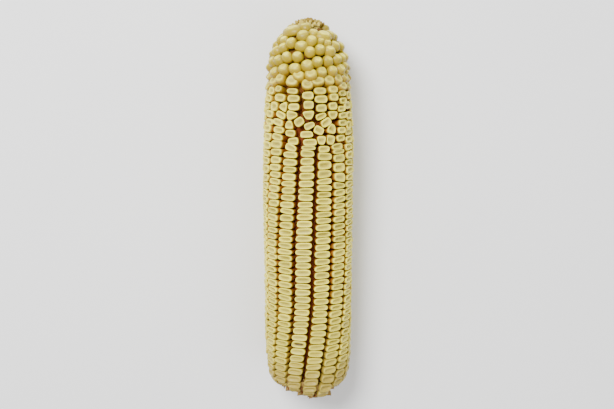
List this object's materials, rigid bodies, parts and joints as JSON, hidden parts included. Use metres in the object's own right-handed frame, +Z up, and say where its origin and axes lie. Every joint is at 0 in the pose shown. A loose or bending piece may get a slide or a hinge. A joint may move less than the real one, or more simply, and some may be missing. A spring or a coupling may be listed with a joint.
{
  "type": "corn cob",
  "caption": "Dried husked ear of white dent maize lying on its side, with its kernel rows, woody cob and withered tip.",
  "frame": {"origin": "on the supporting surface, under the centre of the ear's bounding box as it lies on its side", "axes": "+Z up, +Y along the ear from its butt to its tip, +X across it"},
  "size_m": [0.0482, 0.203, 0.0479],
  "materials": {
    "kernel": "dry satin seed coat, cream white",
    "cob": "dry, rough, maroon brown",
    "chaff": "dry papery, straw brown"
  },
  "bodies": {
    "root": {"cob": "cob", "kernel_row_01": "kernel", "kernel_row_02": "kernel", "kernel_row_03": "kernel", "kernel_row_04": "kernel", "kernel_row_05": "kernel", "kernel_row_06": "kernel", "kernel_row_07": "kernel", "kernel_row_08": "kernel", "kernel_row_09": "kernel", "kernel_row_10": "kernel", "kernel_row_11": "kernel", "kernel_row_12": "kernel", "kernel_row_13": "kernel", "kernel_row_14": "kernel", "kernel_row_15": "kernel", "kernel_row_16": "kernel", "withered_tip": "chaff"}
  },
  "joints": []
}
